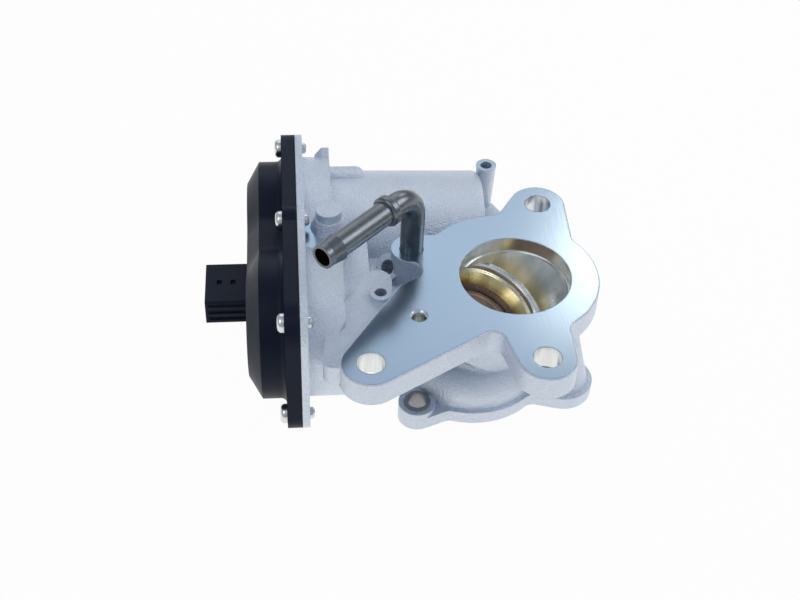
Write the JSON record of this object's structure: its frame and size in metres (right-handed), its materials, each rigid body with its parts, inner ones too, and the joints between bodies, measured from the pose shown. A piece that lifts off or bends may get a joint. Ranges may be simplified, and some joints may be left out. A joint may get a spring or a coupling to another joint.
{
  "type": "egr valve",
  "caption": "Motor-driven exhaust gas valve: flanged aluminium body, oblique flap in its bore, black gear-case cover with plug socket, bent coolant pipe.",
  "frame": {"origin": "centre of the inlet bore on the milled inlet flange face", "axes": "+Z leaves the flange face along the bore, +X points away from the gear case along the flap shaft, +Y points away from the two front lugs"},
  "size_m": [0.1318, 0.1245, 0.0819],
  "materials": {
    "cast_aluminium": "sand-cast skin with milled faces",
    "seat_steel": "turned, straw-tinted",
    "disc_steel": "turned, heat-tinted",
    "seal_ring_steel": "ground",
    "shaft_steel": "ground",
    "bearing_steel": "ground",
    "seal_rubber": "moulded",
    "bush_bronze": "sintered",
    "gear_nylon": "moulded",
    "magnet_grey": "pressed",
    "clip_steel": "phosphated",
    "can_steel": "drawn, zinc plated",
    "rotor_iron": "laminated and wound",
    "pinion_brass": "hobbed",
    "screw_zinc": "bright zinc plated",
    "contact_brass": "stamped, tinned",
    "guide_plastic": "moulded",
    "spring_steel": "oil tempered",
    "gasket_rubber": "moulded",
    "cover_plastic": "moulded, glass-filled",
    "board_green": "lacquered",
    "pipe_steel": "drawn stainless",
    "lug_steel": "turned"
  },
  "bodies": {
    "housing": {"valve_housing": "cast_aluminium", "seat_ring": "seat_steel", "shaft_bearing": "bearing_steel", "shaft_seal": "seal_rubber", "shaft_bush": "bush_bronze", "intermediate_axle": "shaft_steel", "axle_clip": "clip_steel", "motor_can": "can_steel", "motor_magnets": "magnet_grey", "motor_plate": "can_steel", "motor_screws": "screw_zinc", "motor_contacts": "contact_brass", "spring_guide": "guide_plastic", "return_spring": "spring_steel", "cover_gasket": "gasket_rubber", "gear_cover": "cover_plastic", "cover_screws": "screw_zinc", "connector_pins": "contact_brass", "sensor_board": "board_green", "coolant_pipe": "pipe_steel", "lug_bush": "lug_steel"},
    "rotor": {"motor_rotor": "rotor_iron", "motor_pinion": "pinion_brass"},
    "middle_gear": {"intermediate_gear": "gear_nylon"},
    "flap": {"valve_shaft": "shaft_steel", "flap_disc": "disc_steel", "flap_seal_ring": "seal_ring_steel", "output_gear": "gear_nylon", "sensor_magnet": "magnet_grey"}
  },
  "joints": [
    {"name": "motor_spin", "type": "hinge", "parent": "housing", "child": "rotor", "pos_m": [-0.073, 0.0488, -0.0195], "axis": [1, 0, 0], "range_deg": [0, 1009.2]},
    {"name": "middle_turn", "type": "hinge", "parent": "housing", "child": "middle_gear", "pos_m": [-0.073, 0.02691, -0.0217], "axis": [1, 0, 0], "range_deg": [-252.31, 0]},
    {"name": "flap_turn", "type": "hinge", "parent": "housing", "child": "flap", "pos_m": [-0.0104, 0, -0.0195], "axis": [1, 0, 0], "range_deg": [0, 80], "stiffness_Nm_per_rad": 0.12, "springref_deg": -28.65}
  ],
  "couplings": [
    {"joint": "middle_turn", "follows": "motor_spin", "ratio": -0.25},
    {"joint": "flap_turn", "follows": "motor_spin", "ratio": 0.079268}
  ]
}
